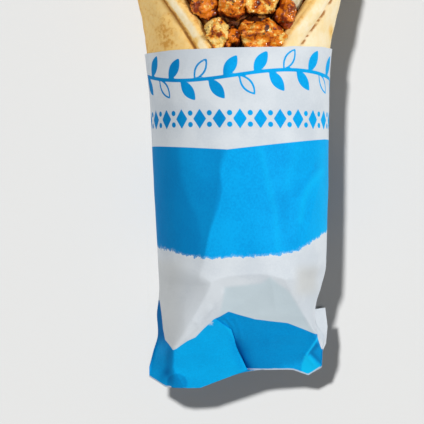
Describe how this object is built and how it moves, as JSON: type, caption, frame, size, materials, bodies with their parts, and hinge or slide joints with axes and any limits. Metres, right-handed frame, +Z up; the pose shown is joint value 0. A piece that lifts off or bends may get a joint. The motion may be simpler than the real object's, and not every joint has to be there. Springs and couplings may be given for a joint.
{
  "type": "chicken wrap",
  "caption": "Flatbread rolled round grilled chicken pieces, open at one end and held in a printed paper sleeve that is folded shut at the other end. It lies flat on its back.",
  "frame": {"origin": "middle of the wrap's outline seen from above, on the surface it lies on", "axes": "+Y along the wrap towards its open end, +X to the right with the opening up, +Z up"},
  "size_m": [0.0931, 0.2154, 0.063],
  "materials": {
    "bread": null,
    "paper": "white uncoated paper with a printed blue band, a blue sprig and a blue end",
    "filling": null,
    "chicken": null,
    "onion": null
  },
  "bodies": {
    "root": {"flatbread": "bread", "paper_sleeve": "paper", "chicken_filling": "filling", "chicken_piece_01": "chicken", "chicken_piece_02": "chicken", "chicken_piece_03": "chicken", "chicken_piece_04": "chicken", "chicken_piece_05": "chicken", "chicken_piece_06": "chicken", "chicken_piece_07": "chicken", "chicken_piece_08": "chicken", "chicken_piece_09": "chicken", "chicken_piece_10": "chicken", "chicken_piece_11": "chicken", "chicken_piece_12": "chicken", "chicken_piece_13": "chicken", "chicken_piece_14": "chicken", "chicken_piece_15": "chicken", "chicken_piece_16": "chicken", "chicken_piece_17": "chicken", "chicken_piece_18": "chicken", "chicken_piece_19": "chicken", "chicken_piece_20": "chicken", "chicken_piece_21": "chicken", "chicken_piece_22": "chicken", "chicken_piece_23": "chicken", "onion_slice": "onion"}
  },
  "joints": []
}
